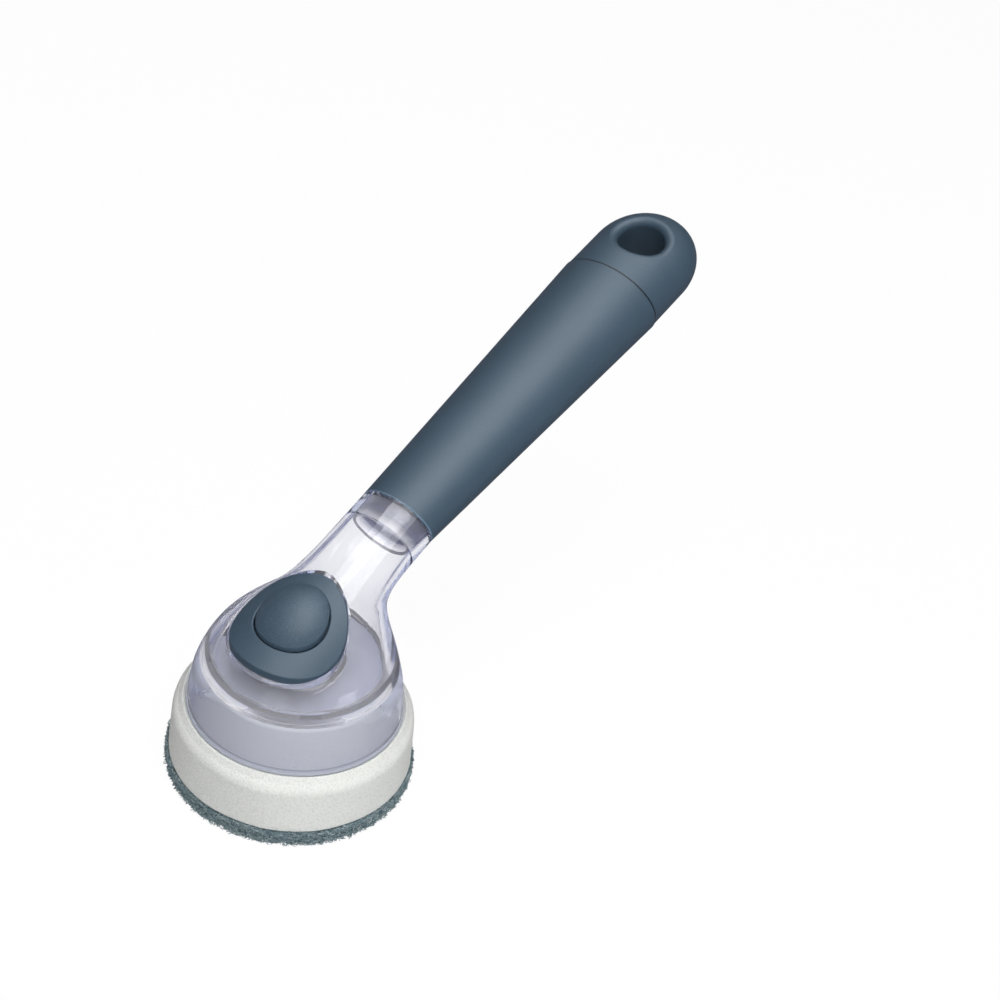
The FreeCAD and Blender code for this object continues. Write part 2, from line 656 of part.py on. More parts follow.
def biarc(start, start_tangent, end, end_tangent):
    """Two arcs that join two points and keep both tangents."""
    chord = end - start
    total = start_tangent + end_tangent
    spread = 2 * (1 - start_tangent.dot(end_tangent))
    lean = chord.dot(total)
    reach = (math.sqrt(lean ** 2 + spread * chord.dot(chord)) - lean) / spread
    joint = (start + end + (start_tangent - end_tangent) * reach) / 2
    joint_tangent = (end - end_tangent * reach - start - start_tangent * reach).normalize()
    return [arc_from(start, start_tangent, joint), arc_from(joint, joint_tangent, end)]


def make_return_spring():
    low = BARREL_SEAT + SPRING_WIRE_RADIUS + SPRING_SEAT_GAP
    high = STEM_BASE - SPRING_WIRE_RADIUS - SPRING_SEAT_GAP
    pitch = (high - low) / SPRING_TURNS
    sweep = 2 * math.pi * SPRING_RADIUS

    def place(turn):
        angle = 2 * math.pi * turn
        x = SPRING_RADIUS * math.cos(angle) - BUTTON_SETBACK
        return Vector(x, SPRING_RADIUS * math.sin(angle), low + pitch * turn)

    def heading(turn):
        angle = 2 * math.pi * turn
        return Vector(-sweep * math.sin(angle), sweep * math.cos(angle), pitch).normalize()

    edges = []
    quarters = 4 * SPRING_TURNS
    for index in range(quarters):
        start = index / 4
        end = (index + 1) / 4
        edges += biarc(place(start), heading(start), place(end), heading(end))
    path = Part.Wire(edges)
    section = Part.Wire(Part.Edge(Part.Circle(place(0), heading(0), SPRING_WIRE_RADIUS)))
    spring = path.makePipeShell([section], True, False)
    rise = pitch * sweep / math.hypot(sweep, pitch)
    print("spring: least gap between turns", round(rise - 2 * SPRING_WIRE_RADIUS, 3))
    return spring


MAKERS = {
    "scouring_pad": make_scouring_pad,
    "sponge_foam": make_sponge_foam,
    "sponge_holder": make_sponge_holder,
    "head_shell": make_head_shell,
    "chamber_floor": make_chamber_floor,
    "handle_tube": make_handle_tube,
    "neck_coupler": make_neck_coupler,
    "neck_seal": make_neck_seal,
    "end_cap": make_end_cap,
    "cap_seal": make_cap_seal,
    "button_housing": make_button_housing,
    "housing_gasket": make_housing_gasket,
    "button_cap": make_button_cap,
    "plunger_rod": make_plunger_rod,
    "valve_stopper": make_valve_stopper,
    "rod_seal": make_rod_seal,
    "return_spring": make_return_spring,
}

os.makedirs("parts", exist_ok=True)
for node, make in MAKERS.items():
    shape = make()
    shape.exportStep("parts/" + node + ".step")
    print(node, len(shape.Solids), "solid", round(shape.Volume, 1), "mm3", "valid", shape.isValid())
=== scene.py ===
import math
import random

import bpy
from mathutils import Matrix, Vector, noise


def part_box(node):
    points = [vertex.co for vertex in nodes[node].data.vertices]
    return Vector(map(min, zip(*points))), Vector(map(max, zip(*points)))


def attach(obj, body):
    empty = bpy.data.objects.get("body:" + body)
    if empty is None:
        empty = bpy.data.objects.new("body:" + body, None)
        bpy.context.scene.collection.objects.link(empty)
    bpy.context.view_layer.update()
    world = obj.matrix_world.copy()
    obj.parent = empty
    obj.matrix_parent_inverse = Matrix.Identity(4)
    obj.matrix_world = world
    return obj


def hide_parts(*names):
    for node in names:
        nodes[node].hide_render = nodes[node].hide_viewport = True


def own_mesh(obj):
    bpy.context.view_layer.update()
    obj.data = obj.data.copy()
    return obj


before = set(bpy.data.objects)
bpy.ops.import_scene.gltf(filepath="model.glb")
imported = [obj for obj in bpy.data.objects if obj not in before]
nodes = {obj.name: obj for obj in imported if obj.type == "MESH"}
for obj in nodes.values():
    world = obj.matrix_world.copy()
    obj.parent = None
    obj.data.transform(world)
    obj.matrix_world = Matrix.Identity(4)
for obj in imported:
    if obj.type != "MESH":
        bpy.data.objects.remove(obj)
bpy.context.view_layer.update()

scene = bpy.context.scene
scene.view_settings.view_transform = "Standard"

MM = 0.001
UP = Vector((0.0, 0.0, 1.0))
FULL_TURN = 2 * math.pi
QUARTER_TURN = math.pi / 2
WHITE = (1.0, 1.0, 1.0)


# Camera, solved from the photograph's ovals

EYE = Vector((-0.36277, -0.26562, 0.43937))
TARGET = Vector((0.09424, -0.00346, 0.05121))
ROLL = math.radians(10.21)
LENS = 72.608
SENSOR_WIDTH = 36.0
NEAR_CLIP = 10 * MM


def add_camera():
    data = bpy.data.cameras.new("photo_camera")
    data.sensor_width = SENSOR_WIDTH
    data.lens = LENS
    data.clip_start = NEAR_CLIP
    camera = bpy.data.objects.new("photo_camera", data)
    scene.collection.objects.link(camera)
    back = (EYE - TARGET).normalized()
    right = UP.cross(back).normalized()
    up = back.cross(right)
    turned_right = right * math.cos(ROLL) + up * math.sin(ROLL)
    turned_up = up * math.cos(ROLL) - right * math.sin(ROLL)
    place = Matrix((turned_right, turned_up, back)).transposed().to_4x4()
    place.translation = EYE
    camera.matrix_world = place
    scene.camera = camera


# Node helpers

NOISE_LOW = 0.3
NOISE_HIGH = 0.7


class Tree:
    """The node tree of a material or of the world, with short ways to fill it."""

    def __init__(self, owner):
        self.owner = owner
        owner.use_nodes = True
        self.nodes = owner.node_tree.nodes
        self.links = owner.node_tree.links
        self.nodes.clear()

    def feed(self, socket, value):
        """Link another node's output to a socket, or set a plain value on it."""
        if isinstance(value, bpy.types.NodeSocket):
            self.links.new(value, socket)
        elif socket.type == "RGBA":
            socket.default_value = (*value, 1.0)
        else:
            socket.default_value = value

    def add(self, kind, sockets=None, **settings):
        """A new node, with its settings and with what each named or numbered socket gets."""
        node = self.nodes.new(kind)
        for key, value in settings.items():
            setattr(node, key, value)
        for key, value in (sockets or {}).items():
            self.feed(node.inputs[key], value)
        return node

    def place(self):
        """The point that is shaded, in the piece's own frame."""
        return self.add("ShaderNodeTexCoord").outputs["Object"]

    def compute(self, operation, first, second=0.0, **settings):
        node = self.add("ShaderNodeMath", {0: first, 1: second}, operation=operation, **settings)
        return node.outputs[0]

    def measure(self, operation, first, second):
        """A number from two vectors, such as their distance or their dot product."""
        node = self.add("ShaderNodeVectorMath", {0: first, 1: second}, operation=operation)
        return node.outputs["Value"]

    def stretch(self, value, start, end, low=0.0, high=1.0):
        """Map the span from start to end onto the span from low to high, and hold it at both ends."""
        ends = {"From Min": start, "From Max": end, "To Min": low, "To Max": high}
        return self.add("ShaderNodeMapRange", {"Value": value, **ends}).outputs["Result"]

    def spread(self, value, low, high):
        """Map the usual range of a noise onto the span from low to high."""
        return self.stretch(value, NOISE_LOW, NOISE_HIGH, low, high)

    def noise_value(self, scale, detail=2.0, rough=0.55):
        sockets = {"Scale": scale, "Detail": detail, "Roughness": rough, "Vector": self.place()}
        return self.add("ShaderNodeTexNoise", sockets).outputs["Fac"]

    def ramp(self, value, stops):
        """A colour for each value, blended between the stops."""
        node = self.add("ShaderNodeValToRGB", {"Fac": value})
        elements = node.color_ramp.elements
        while len(elements) < len(stops):
            elements.new(0.5)
        for element, (place, colour) in zip(elements, stops):
            element.position = place
            element.color = (*colour, 1.0)
        return node.outputs["Color"]

    def bump(self, value, strength, distance, before=None):
        """A normal tilted by a height, on top of another bump where one is given."""
        node = self.add("ShaderNodeBump", {"Height": value, "Strength": strength, "Distance": distance})
        if before is not None:
            self.feed(node.inputs["Normal"], before)
        return node.outputs["Normal"]

    def shader(self, kind, sockets):
        return self.add(kind, sockets).outputs[0]

    def mix(self, share, first, second):
        """The first shader where the share is 0, the second where it is 1."""
        return self.shader("ShaderNodeMixShader", {"Fac": share, 1: first, 2: second})

    def finish(self, shader, volume=None):
        """Send the shader, and the volume where there is one, to the material's output."""
        end = self.add("ShaderNodeOutputMaterial", {"Surface": shader})
        if volume is not None:
            self.feed(end.inputs["Volume"], volume)
        return self.owner


def new_material(name):
    return Tree(bpy.data.materials.new(name))


def srgb(red, green, blue):
    """Linear colour from the 0 to 255 values that a picture shows."""
    out = []
    for value in (red, green, blue):
        share = value / 255
        out.append(share / 12.92 if share <= 0.04045 else ((share + 0.055) / 1.055) ** 2.4)
    return tuple(out)


def scaled(tone, share):
    """A tone made lighter or darker, white at most."""
    return tuple(min(1.0, value * share) for value in tone)


# Places along the handle: its joint with the neck, and the seam of its cap

TILT = math.radians(18.3)
ALONG = Vector((math.cos(TILT), 0.0, math.sin(TILT)))
NECK_END = (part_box("handle_tube")[0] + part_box("head_shell")[1]).dot(ALONG) / 2
SEAM = NECK_END + 111.9 * MM


def along_handle(tree, zero):
    """Distance of a point along the handle's axis, from a given place."""
    return tree.compute("SUBTRACT", tree.measure("DOT_PRODUCT", tree.place(), ALONG), zero)


# Slate plastic

FINE_GRAIN = 2600.0
BROAD_GRAIN = 60.0
FINE_SHARE = 0.75
GRAIN_DEPTH = 0.12 * MM
ROUGH_SPAN = 0.06
# Painted shade and painted highlight: a dark line at the cap's seam for the groove's shade, a light line at
# the joint for light caught on the handle's edge
LINE_WIDTH = 0.3 * MM
SEAM_SHADE_CHANGE = -0.5
JOINT_HIGHLIGHT_CHANGE = 0.4
SLATE_STOPS = (0.1, 0.32, 0.68, 0.9)
SEAM_SHADE_TONE = 0.35
JOINT_HIGHLIGHT_TONE = 2.4


def slate_material(name, tone, speckle, rough, grain):
    """Moulded slate plastic with a fine grain, painted shade as a dark line at the cap's seam and a painted
    highlight as a light line at the joint.
    """
    tree = new_material(name)
    fine = tree.noise_value(FINE_GRAIN)
    broad = tree.noise_value(BROAD_GRAIN, detail=3.0)
    fine_part = tree.compute("MULTIPLY", fine, FINE_SHARE)
    broad_part = tree.compute("MULTIPLY", broad, 1 - FINE_SHARE)
    level = tree.compute("ADD", broad_part, fine_part)
    # Painted shade at the seam's groove and a painted highlight on the handle's edge at the joint, both drawn
    # as lines in the base colour
    for place, change in ((SEAM, SEAM_SHADE_CHANGE), (NECK_END, JOINT_HIGHLIGHT_CHANGE)):
        away = tree.compute("ABSOLUTE", along_handle(tree, place))
        line = tree.stretch(away, LINE_WIDTH, LINE_WIDTH * 2, change, 0.0)
        level = tree.compute("ADD", level, line)
    shares = (SEAM_SHADE_TONE, 1 - speckle, 1 + speckle, JOINT_HIGHLIGHT_TONE)
    tones = [scaled(tone, share) for share in shares]
    shader = tree.shader("ShaderNodeBsdfPrincipled", {
        "Base Color": tree.ramp(level, tuple(zip(SLATE_STOPS, tones))),
        "Roughness": tree.spread(fine, rough - ROUGH_SPAN, rough + ROUGH_SPAN),
        "Normal": tree.bump(fine, grain, GRAIN_DEPTH),
        "Specular IOR Level": 0.42,
    })
    return tree.finish(shader)


# Clear plastic

PLASTIC_IOR = 1.49
MANY_TURNS = 2.5
INDIGO = (0.72, 0.75, 0.86)
INSIDE_TONE = (0.70, 0.71, 0.86)
CLEAR_TONE = (0.985, 0.985, 0.99)
GLINT_TONE = (0.4, 0.4, 0.4)
CLEAR_ROUGHNESS = 0.012
RIPPLE_SCALE = 45.0
RIPPLE_STRENGTH = 0.05
RIPPLE_DEPTH = 0.4 * MM
HAZE_START = 0.0
HAZE_END = 32 * MM
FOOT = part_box("head_shell")[0].z
FROST_FULL = FOOT + 0.3 * MM
FROST_END = FOOT + 1.1 * MM
FROST_TONE = srgb(192, 196, 206)


def let_light_through(tree, shader, tint):
    """A clear shader that lets plain light straight through to what it covers.

    A ray that has turned several times inside a wall also leaves it straight, and takes up indigo."""
    path = tree.add("ShaderNodeLightPath").outputs
    plain_light = tree.compute("MAXIMUM", path["Is Shadow Ray"], path["Is Diffuse Ray"])
    turned = tree.compute("GREATER_THAN", path["Glossy Depth"], MANY_TURNS)
    straight = tree.shader("ShaderNodeBsdfTransparent", {"Color": tint})
    indigo = tree.shader("ShaderNodeBsdfTransparent", {"Color": INDIGO})
    return tree.mix(turned, tree.mix(plain_light, shader, straight), indigo)


def clear_material(name, head, neck, density):
    """Clear plastic that refracts, and takes up indigo on long ways through it.

    The head is a little hazier than the neck, and the skirt's foot is frosted where it rubs on the foam."""
    tree = new_material(name)
    where = tree.add("ShaderNodeSeparateXYZ", {0: tree.place()}).outputs
    ripple = tree.noise_value(RIPPLE_SCALE)
    shader = tree.shader("ShaderNodeBsdfPrincipled", {
        "Base Color": CLEAR_TONE,
        "Transmission Weight": tree.stretch(where["X"], HAZE_START, HAZE_END, head, neck),
        "IOR": PLASTIC_IOR,
        "Specular Tint": GLINT_TONE,
        "Roughness": tree.spread(ripple, CLEAR_ROUGHNESS, CLEAR_ROUGHNESS * 2),
        "Normal": tree.bump(ripple, RIPPLE_STRENGTH, RIPPLE_DEPTH),
    })
    foot = tree.stretch(where["Z"], FROST_FULL, FROST_END, 1.0, 0.0)
    frost = tree.shader("ShaderNodeBsdfDiffuse", {"Color": FROST_TONE})
    surface = tree.mix(foot, let_light_through(tree, shader, CLEAR_TONE), frost)
    inside = tree.shader("ShaderNodeVolumeAbsorption", {"Color": INSIDE_TONE, "Density": density})
    return tree.finish(surface, inside)


# Painted shade: from its rim towards the handle the coupler takes a violet tint for the dark inside of the
# handle seen through it; the neck seal takes the same material
COUPLER_RIM = -7.4 * MM
COUPLER_SHADE_FULL = -5.0 * MM
RIM_TONE = (0.97, 0.97, 0.985)
HANDLE_SHADE_TONE = (0.34, 0.35, 0.46)


def coupler_material():
    """Clear at its rim, with painted shade towards the handle: a violet tint standing in for the dark inside
    of the handle seen through it.
    """
    tree = new_material("coupler_painted_shade")
    depth = tree.stretch(along_handle(tree, NECK_END), COUPLER_RIM, COUPLER_SHADE_FULL)
    shader = tree.shader("ShaderNodeBsdfPrincipled", {
        "Base Color": tree.ramp(depth, ((0.0, RIM_TONE), (1.0, HANDLE_SHADE_TONE))),
        "Transmission Weight": 0.8,
        "IOR": PLASTIC_IOR,
        "Roughness": 0.2,
        "Specular IOR Level": 0.0,
    })
    return tree.finish(let_light_through(tree, shader, RIM_TONE))


# Pieces without special looks

PLAIN_GRAIN = 1800.0
PLAIN_DEPTH = 0.1 * MM
PLAIN_ROUGH_SPAN = 0.04
PLAIN_DARK = 0.92
PLAIN_LIGHT = 1.06


def plain_material(name, tone, rough, grain, metallic=0.0):
    """Smooth plastic, rubber or steel with a faint grain."""
    tree = new_material(name)
    fine = tree.noise_value(PLAIN_GRAIN)
    stops = ((NOISE_LOW, scaled(tone, PLAIN_DARK)), (NOISE_HIGH, scaled(tone, PLAIN_LIGHT)))
    shader = tree.shader("ShaderNodeBsdfPrincipled", {
        "Base Color": tree.ramp(fine, stops),
        "Roughness": tree.spread(fine, rough - PLAIN_ROUGH_SPAN, rough + PLAIN_ROUGH_SPAN),
        "Normal": tree.bump(fine, grain, PLAIN_DEPTH),
        "Metallic": metallic,
    })
    return tree.finish(shader)


# Foam and scouring fibre

CELL_SCALE = 1500.0
CELL_STRENGTH = 0.45
CRUMB_GRAIN = 1700.0
CRUMB_STRENGTH = 0.25
FOAM_DEPTH = 0.2 * MM
FOAM_STOPS = ((0.34, srgb(226, 228, 224)), (0.54, srgb(242, 243, 239)))
FIBRE_GRAIN = 4000.0
FIBRE_STRENGTH = 0.4
FIBRE_DEPTH = 0.1 * MM
FIBRE_TONES = (srgb(90, 112, 120), srgb(136, 160, 168), srgb(172, 193, 198), srgb(216, 226, 228))


def foam_material():
    """Off-white foam, mottled and dented by its pores."""
    tree = new_material("foam")
    cells = tree.add("ShaderNodeTexVoronoi", {"Scale": CELL_SCALE, "Vector": tree.place()})
    crumb = tree.noise_value(CRUMB_GRAIN, detail=4.0, rough=0.6)
    dents = tree.bump(cells.outputs["Distance"], CELL_STRENGTH, FOAM_DEPTH)
    shader = tree.shader("ShaderNodeBsdfPrincipled", {
        "Base Color": tree.ramp(crumb, FOAM_STOPS),
        "Normal": tree.bump(crumb, CRUMB_STRENGTH, FOAM_DEPTH, dents),
        "Roughness": 0.95,
        "Specular IOR Level": 0.15,
        "Subsurface Weight": 0.12,
        "Subsurface Radius": (0.004, 0.004, 0.0035),
        "Subsurface Scale": 0.5,
    })
    return tree.finish(shader)


def fibre_material(name, tones):
    """Scouring fibre: each strand takes its own tone."""
    tree = new_material(name)
    strand = tree.add("ShaderNodeAttribute", attribute_name="strand")
    places = [index / (len(tones) - 1) for index in range(len(tones))]
    shader = tree.shader("ShaderNodeBsdfPrincipled", {
        "Base Color": tree.ramp(strand.outputs["Fac"], tuple(zip(places, tones))),
        "Normal": tree.bump(tree.noise_value(FIBRE_GRAIN), FIBRE_STRENGTH, FIBRE_DEPTH),
        "Roughness": 0.72,
        "Specular IOR Level": 0.3,
    })
    return tree.finish(shader)


# What each CAD piece is made of

slate = slate_material("slate_plastic", srgb(66, 85, 101), speckle=0.12, rough=0.50, grain=0.25)
slate_dome = slate_material("slate_dome", srgb(68, 87, 103), speckle=0.30, rough=0.50, grain=0.6)
clear = clear_material("clear_shell", head=0.92, neck=0.985, density=55.0)
floor_clear = clear_material("clear_floor", head=0.92, neck=0.92, density=220.0)
coupler_shade = coupler_material()
pale = plain_material("pale_plastic", srgb(196, 200, 208), rough=0.34, grain=0.05)
natural = plain_material("natural_plastic", srgb(205, 207, 212), rough=0.40, grain=0.05)
rubber = plain_material("seal_rubber", srgb(214, 215, 218), rough=0.55, grain=0.10)
steel = plain_material("spring_steel", srgb(190, 192, 196), rough=0.28, grain=0.05, metallic=1.0)

FINISH = {
    "head_shell": clear,
    "chamber_floor": floor_clear,
    "neck_coupler": coupler_shade,
    "handle_tube": slate,
    "end_cap": slate,
    "button_housing": slate,
    "button_cap": slate_dome,
    "sponge_holder": pale,
    "plunger_rod": natural,
    "valve_stopper": rubber,
    "rod_seal": rubber,
    "housing_gasket": rubber,
    "neck_seal": coupler_shade,
    "cap_seal": rubber,
    "return_spring": steel,
}
for node, finish in FINISH.items():
    mesh = nodes[node].data
    mesh.materials.clear()
    mesh.materials.append(finish)


# Mesh helpers


def mesh_object(name, verts, faces, material):
    mesh = bpy.data.meshes.new(name)
    mesh.from_pydata([tuple(vert) for vert in verts], [], faces)
    mesh.materials.append(material)
    mesh.polygons.foreach_set("use_smooth", [True] * len(mesh.polygons))
    mesh.update()
    piece = bpy.data.objects.new(name, mesh)
    scene.collection.objects.link(piece)
    return piece


def around(angle, reach, height):
    """A point at an angle and a distance from the head's axis."""
    return (reach * math.cos(angle), reach * math.sin(angle), height)


def shares_of(count):
    """The ends of so many equal steps, as shares of the whole way."""
    whole = int(count)
    return [index / whole for index in range(1, whole + 1)]


def lathe(profile, turns):
    """Closed surface of revolution: rows of the profile, with a flat disc at each end."""
    verts = []
    for radius, height in profile:
        for index in range(turns):
            verts.append(around(FULL_TURN * index / turns, radius, height))
    faces = []
    for row in range(len(profile) - 1):
        low = row * turns
        for index in range(turns):
            follow = (index + 1) % turns
            faces.append((low + index, low + follow, low + turns + follow, low + turns + index))
    last = (len(profile) - 1) * turns
    faces.append(tuple(range(turns))[::-1])
    faces.append(tuple(range(last, last + turns)))
    return verts, faces


# Foam disc

FOAM_TURNS = 640
FOAM_STEP = 0.36 * MM
FOAM_INSET = 0.25 * MM
FOAM_CORNER = 0.8 * MM
FOAM_TAPER = 0.5 * MM
FOAM_BEND = 5.0 * MM
LIP_RADIUS = 33.3 * MM
LIP_RISE = 0.85 * MM
LIP_FOOT = 1.5 * MM
LIP_TOP = 0.3 * MM
LIP_CORNER = 0.15 * MM
LIP_STEPS = 5
SEAT_STEP = 0.4 * MM
SEAT_SHARE = 0.72
UNDER_SHARE = 0.5
PORE_SCALE = 1150.0
PORE_WIDTH = 0.38
PORE_DEPTH = 0.10 * MM
SWAY_SCALE = 90.0
SWAY_DEPTH = 0.22 * MM
CRUMB_SCALE = 1500.0
CRUMB_DEPTH = 0.05 * MM
FLAT_BELOW = 0.1 * MM
FLAT_INSIDE = LIP_RADIUS + 0.05 * MM


def foam_profile(radius, low, high):
    """From the underside up the side and round the shoulder, over the lip and in along the flat seat."""
    points = [(radius * UNDER_SHARE, low), (radius - FOAM_CORNER, low), (radius, low + FOAM_CORNER)]
    rise = high - FOAM_BEND - low - FOAM_CORNER
    for share in shares_of(rise / FOAM_STEP):
        points.append((radius - FOAM_TAPER * share, low + FOAM_CORNER + share * rise))
    middle = radius - FOAM_TAPER - FOAM_BEND
    for share in shares_of(FOAM_BEND * QUARTER_TURN / FOAM_STEP):
        angle = QUARTER_TURN * share
        reach = middle + FOAM_BEND * math.cos(angle)
        if reach > LIP_RADIUS + LIP_FOOT:
            points.append((reach, high - FOAM_BEND + FOAM_BEND * math.sin(angle)))
    foot_reach, foot_height = points[-1]
    way_in = LIP_RADIUS + LIP_TOP - foot_reach
    way_up = high + LIP_RISE - foot_height
    for share in shares_of(LIP_STEPS):
        points.append((foot_reach + way_in * share, foot_height + way_up * share))
    points.append((LIP_RADIUS, high + LIP_RISE - LIP_CORNER))
    points.append((LIP_RADIUS, high))
    seat = LIP_RADIUS - SEAT_STEP
    points.append((seat, high))
    inner = radius * SEAT_SHARE
    for share in shares_of((seat - inner) / FOAM_STEP):
        points.append((seat + (inner - seat) * share, high))
    return points


def make_foam():
    """The foam disc: its sides and shoulder are pored and slightly uneven, its seat and underside flat."""
    low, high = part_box("sponge_foam")
    profile = foam_profile(high.x - FOAM_INSET, low.z, high.z)
    verts, faces = lathe(profile, FOAM_TURNS)
    shaped = []
    for x, y, z in verts:
        point = Vector((x, y, z))
        outward = Vector((x, y, 0.0)).normalized()
        lift = max(0.0, (z - (high.z - FOAM_BEND)) / FOAM_BEND)
        normal = (outward * (1 - lift) + UP * lift).normalized()
        nearest = noise.voronoi(point * PORE_SCALE)[0][0]
        pore = max(0.0, PORE_WIDTH - nearest) / PORE_WIDTH
        sway = noise.noise(point * SWAY_SCALE)
        crumb = noise.noise(point * CRUMB_SCALE)
        depth = SWAY_DEPTH * sway + CRUMB_DEPTH * crumb - PORE_DEPTH * pore
        if z <= low.z + FLAT_BELOW or math.hypot(x, y) <= FLAT_INSIDE:
            depth = 0.0
        shaped.append(point + normal * depth)
    piece = mesh_object("foam_disc", shaped, faces, foam_material())
    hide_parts("sponge_foam")
    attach(piece, "refill")


# Scouring pad: a rough core, covered with crinkled strands

PAD_SEED = 11
CORE_TURNS = 420
CORE_INNER = 0.4
CORE_OUTER = 0.58
CORE_STEPS = 40
CORE_FLOOR = 0.5 * MM
CORE_INSET = 0.9 * MM
CORE_BULGE = 0.35 * MM
CORE_ROWS = 12
CORE_LESS = 0.7 * MM
CORE_TOP = 0.15 * MM
CORE_TOP_SHARES = (0.9, 0.5)
ROUGH_SCALE = 900.0
ROUGHER_SCALE = 2300.0
ROUGHER_SHARE = 0.6
RIM_FROM = 0.95
RIM_BELOW = 0.3 * MM
RIM_ROUGHNESS = 0.45 * MM
UNDER_BELOW = 0.8 * MM
UNDER_ROUGHNESS = 0.3 * MM
CORE_TONE = 0.16
CORE_TONE_SPAN = 0.14
STRAND_SIDES = 3
STRAND_END = 0.55
STEEP = 0.9
RISE_SHARE = 0.7
TURN_BACK = 0.9
TURN_OUT = 0.5
TONE_SPAN = 0.24

# Strands on the rim: lengths, radii and insets in mm, and how far their headings stray up and outward
RIM_STRANDS = {
    "count": 9000, "length": (1.2, 3.6), "radius": (0.08, 0.16), "curl": 0.5, "segments": 5, "tone": 0.48,
}
RIM_INSET = (0.0, 1.0)
RIM_LOWEST = 0.25 * MM
RIM_SLOPE = 0.55
RIM_STRAY = 0.35

# Strands over the foam's lower edge: their heights are lowest, highest and likeliest, in mm
OVER_STRANDS = {
    "count": 1100, "length": (0.7, 1.8), "radius": (0.06, 0.12), "curl": 0.5, "segments": 4, "tone": 0.5,
}
OVER_INSET = (0.0, 0.3)
OVER_HEIGHTS = (-0.6, 1.0, -0.2)
OVER_SLOPE = 0.7

# Strands on the underside: their reach is a share of the pad's area
UNDER_STRANDS = {
    "count": 5200, "length": (2.0, 5.0), "radius": (0.08, 0.16), "curl": 0.45, "segments": 4, "tone": 0.45,
}
UNDER_REACH = (0.0, 0.98)
UNDER_HEIGHTS = (0.15, 0.7)
UNDER_SLOPE = 0.1

# Where strands are turned back: inside and outside the pad's edge, above its foot, below or above its top
STRAND_OUTSIDE = 0.15 * MM
RIM_INSIDE = 1.5 * MM
RIM_FOOT = 0.15 * MM
RIM_ABOVE = 0.1 * MM
OVER_INSIDE = 0.35 * MM
OVER_BELOW = 0.6 * MM
OVER_ABOVE = 1.3 * MM
UNDER_INSIDE = 0.5 * MM
UNDER_FOOT = 0.12 * MM
UNDER_HEAD = 0.75 * MM


def within_one(value):
    return min(1.0, max(0.0, value))


def pad_core(low, high):
    """Vertices, faces and tones of the pad's core, roughened on its rim and underside."""
    radius = high.x
    thick = high.z - low.z
    base = low.z + CORE_FLOOR
    profile = [(radius * CORE_INNER, base)]
    for share in shares_of(CORE_STEPS):
        profile.append((radius * (CORE_INNER + CORE_OUTER * share), base))
    for share in (0.0, *shares_of(CORE_ROWS)):
        bulge = CORE_BULGE * math.sin(math.pi * share)
        profile.append((radius - CORE_INSET + bulge, base + (thick - CORE_LESS) * share))
    for share in CORE_TOP_SHARES:
        profile.append((radius * share, high.z - CORE_TOP))
    verts, faces = lathe(profile, CORE_TURNS)
    shaped = []
    tones = []
    for x, y, z in verts:
        point = Vector((x, y, z))
        outward = Vector((x, y, 0.0)).normalized()
        rough = noise.noise(point * ROUGH_SCALE) + ROUGHER_SHARE * noise.noise(point * ROUGHER_SCALE)
        if math.hypot(x, y) > radius * RIM_FROM and z < high.z - RIM_BELOW:
            point = point + outward * (RIM_ROUGHNESS * rough)
        if z < low.z + UNDER_BELOW:
            point = point + UP * (UNDER_ROUGHNESS * rough)
        shaped.append(point)
        tones.append(within_one(CORE_TONE + CORE_TONE_SPAN * rough))
    return shaped, faces, tones


def strand_rings(rng, start, heading, length, radius, curl, segments, limits):
    """Rings of one crinkled strand that is turned back at the limits it is given."""
    inner, outer, low, high = limits
    rings = []
    point = Vector(start)
    heading = Vector(heading).normalized()
    step = length / segments
    for index in range(segments + 1):
        side = heading.cross(UP if abs(heading.z) < STEEP else Vector((1, 0, 0))).normalized()
        lift = side.cross(heading)
        width = radius * (STRAND_END if index in (0, segments) else 1.0)
        ring = []
        for corner in range(STRAND_SIDES):
            angle = FULL_TURN * corner / STRAND_SIDES
            ring.append(point + (side * math.cos(angle) + lift * math.sin(angle)) * width)
        rings.append(ring)
        turn = Vector((rng.gauss(0, 1), rng.gauss(0, 1), rng.gauss(0, RISE_SHARE))) * curl
        heading = (heading + turn).normalized()
        reach = math.hypot(point.x, point.y)
        outward = Vector((point.x, point.y, 0.0)).normalized()
        if reach > outer:
            heading = (heading - outward * TURN_BACK).normalized()
        if reach < inner:
            heading = (heading + outward * TURN_OUT).normalized()
        if point.z < low:
            heading = (heading + UP * TURN_BACK).normalized()
        if point.z > high:
            heading = (heading - UP * TURN_BACK).normalized()
        point = point + heading * step
        point.z = max(point.z, low)
    return rings


def add_strand(shape, rings, tone):
    """Skin the rings of one strand, with a flat face at each end, all in one tone."""
    verts, faces, tones = shape
    base = len(verts)
    for ring in rings:
        verts.extend(ring)
    tones.extend([tone] * (len(rings) * STRAND_SIDES))
    for row in range(len(rings) - 1):
        start = base + row * STRAND_SIDES
        for corner in range(STRAND_SIDES):
            follow = (corner + 1) % STRAND_SIDES
            above = start + STRAND_SIDES
            faces.append((start + corner, start + follow, above + follow, above + corner))
    last = base + (len(rings) - 1) * STRAND_SIDES
    faces.append(tuple(base + corner for corner in reversed(range(STRAND_SIDES))))
    faces.append(tuple(last + corner for corner in range(STRAND_SIDES)))


def scatter(shape, rng, kind, begin, limits):
    """Add strands of one kind, each from the start and heading that begin() draws."""
    for _ in range(kind["count"]):
        start, heading = begin()
        length = rng.uniform(*kind["length"]) * MM
        radius = rng.uniform(*kind["radius"]) * MM
        rings = strand_rings(rng, start, heading, length, radius, kind["curl"], kind["segments"], limits)
        add_strand(shape, rings, within_one(rng.gauss(kind["tone"], TONE_SPAN)))


